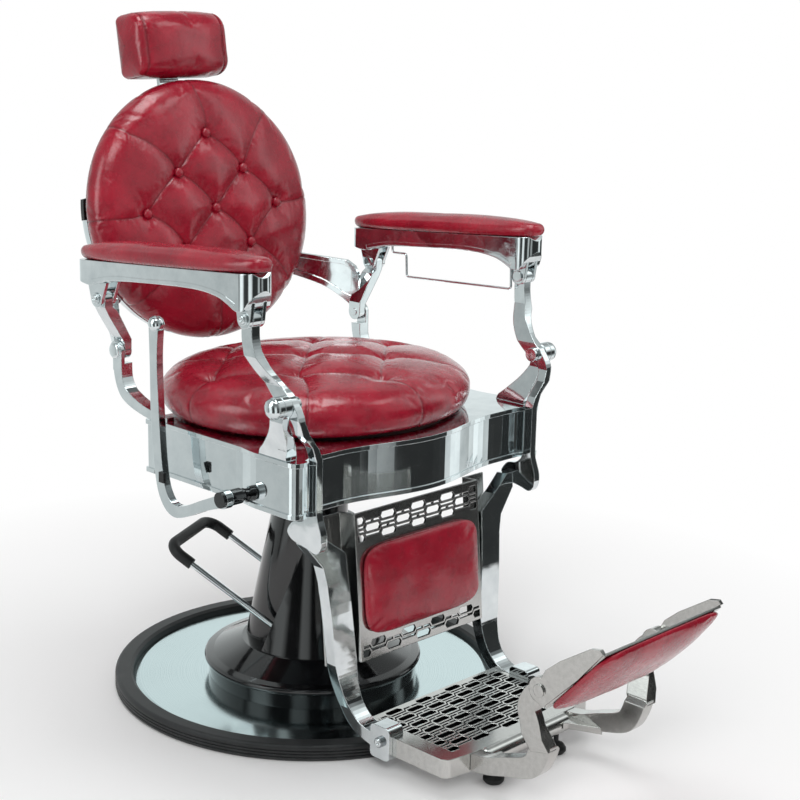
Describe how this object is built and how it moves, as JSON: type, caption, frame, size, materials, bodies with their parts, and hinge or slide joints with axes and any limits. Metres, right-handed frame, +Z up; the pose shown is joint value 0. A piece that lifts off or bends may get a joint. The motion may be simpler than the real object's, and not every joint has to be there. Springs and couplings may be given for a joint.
{
  "type": "hydraulic barber chair",
  "caption": "Round-seated hydraulic barber chair: buttoned back, sliding headrest, linked armrests and leg rest, flip-over footrest and foot-pumped round base.",
  "frame": {"origin": "on the floor, on the column's axis, with the seat at its lowest and the back upright", "axes": "+Z up; -Y the way a sitter faces, so the footplate is at -Y and the back at +Y; +X the sitter's left"},
  "size_m": [0.6599, 1.1233, 1.0885],
  "materials": {
    "rubber": "satin, ribbed edge",
    "chrome": "polished",
    "steel": "plain machined",
    "black": "gloss black enamel",
    "cast": "satin cast and tumbled",
    "leather": "glossy deep red, buttoned",
    "board": "dark stained ply",
    "grip": "moulded sleeve",
    "plastic": "moulded black"
  },
  "bodies": {
    "base": {"base_ring": "rubber", "base_plate": "steel", "base_disc": "chrome", "round_cover": "black", "tower_cover": "black", "skirt_cover": "black", "cylinder_tube": "steel", "cylinder_head": "steel", "pump_block": "steel", "lever_stubs": "steel"},
    "plunger": {"pump_plunger": "chrome"},
    "pump_handle": {"pump_lever": "chrome", "lever_sleeve": "grip"},
    "lift": {"ram": "chrome", "ram_piston": "steel"},
    "seat": {"swivel_plate": "steel", "seat_frame": "chrome", "seat_board": "board", "seat_cushion": "leather", "recline_lock": "steel", "rear_upright_left": "chrome", "rear_upright_right": "chrome", "hinge_pins": "chrome", "rocker_bracket_left": "chrome", "rocker_bracket_right": "chrome", "rocker_pins": "chrome", "lever_hub": "black"},
    "back": {"back_cushion": "leather", "back_board": "board", "back_shell": "chrome", "back_trim": "black", "back_buttons": "leather", "wing_left": "chrome", "wing_right": "chrome", "post_guide": "black", "rear_arm_pins": "chrome"},
    "clamp": {"clamp_knob": "plastic"},
    "head": {"headrest_post": "chrome", "headrest": "leather"},
    "arm_left": {"armrest_left": "chrome", "arm_pad_left": "leather", "towel_wire": "chrome"},
    "arm_right": {"armrest_right": "chrome", "arm_pad_right": "leather"},
    "leg_rest": {"rocker_bar_left": "chrome", "rocker_bar_right": "chrome", "leg_bar_left": "chrome", "leg_bar_right": "chrome", "leg_panel": "cast", "calf_pad": "leather", "footplate": "cast", "foot_bolts": "steel", "rubber_feet": "grip", "footrest_arm_left": "cast", "footrest_arm_right": "cast", "front_arm_pins": "chrome"},
    "flip_rest": {"flip_footrest": "cast", "flip_pad": "leather"},
    "recline_handle": {"recline_lever": "chrome", "lever_tip": "plastic"}
  },
  "joints": [
    {"name": "lift_slide", "type": "slide", "parent": "base", "child": "lift", "axis": [0, 0, 1], "range_m": [0, 0.16]},
    {"name": "swivel", "type": "hinge", "parent": "lift", "child": "seat", "pos_m": [0, 0, 0.4], "axis": [0, 0, 1], "continuous": true},
    {"name": "recline", "type": "hinge", "parent": "seat", "child": "back", "pos_m": [0, 0.17, 0.572], "axis": [-1, 0, 0], "range_deg": [0, 21]},
    {"name": "leg_swing", "type": "hinge", "parent": "seat", "child": "leg_rest", "pos_m": [0, -0.238, 0.56], "axis": [-1, 0, 0], "range_deg": [0, 16.11]},
    {"name": "arm_left_tilt", "type": "hinge", "parent": "back", "child": "arm_left", "pos_m": [0.294, 0.166, 0.66], "axis": [-1, 0, 0], "range_deg": [-23.5, 0]},
    {"name": "arm_right_tilt", "type": "hinge", "parent": "back", "child": "arm_right", "pos_m": [-0.294, 0.166, 0.66], "axis": [-1, 0, 0], "range_deg": [-23.5, 0]},
    {"name": "flip_over", "type": "hinge", "parent": "leg_rest", "child": "flip_rest", "pos_m": [0, -0.605, 0.209], "axis": [-1, 0, 0], "range_deg": [0, 130]},
    {"name": "headrest_slide", "type": "slide", "parent": "back", "child": "head", "axis": [0, 0.1736, 0.9848], "range_m": [0, 0.08]},
    {"name": "clamp_turn", "type": "hinge", "parent": "back", "child": "clamp", "pos_m": [0, 0.37948, 0.92392], "axis": [0, 0.9848, -0.1736], "range_deg": [-180, 180]},
    {"name": "pump_press", "type": "hinge", "parent": "base", "child": "pump_handle", "pos_m": [-0.00908, 0.01782, 0.1], "axis": [-0.891, -0.454, 0], "range_deg": [0, 18], "stiffness_Nm_per_rad": 8, "springref_deg": -20.05},
    {"name": "plunger_stroke", "type": "slide", "parent": "base", "child": "plunger", "axis": [0, 0, -1], "range_m": [0, 0.013]},
    {"name": "recline_release", "type": "hinge", "parent": "seat", "child": "recline_handle", "pos_m": [-0.3, -0.132, 0.404], "axis": [-1, 0, 0], "range_deg": [0, 12], "stiffness_Nm_per_rad": 4, "springref_deg": -20.05}
  ],
  "couplings": [
    {"joint": "leg_swing", "follows": "recline", "ratio": 0.767},
    {"joint": "arm_left_tilt", "follows": "recline", "ratio": -1.119},
    {"joint": "arm_right_tilt", "follows": "recline", "ratio": -1.119},
    {"joint": "plunger_stroke", "follows": "pump_press", "m_per_rad": 0.038}
  ]
}
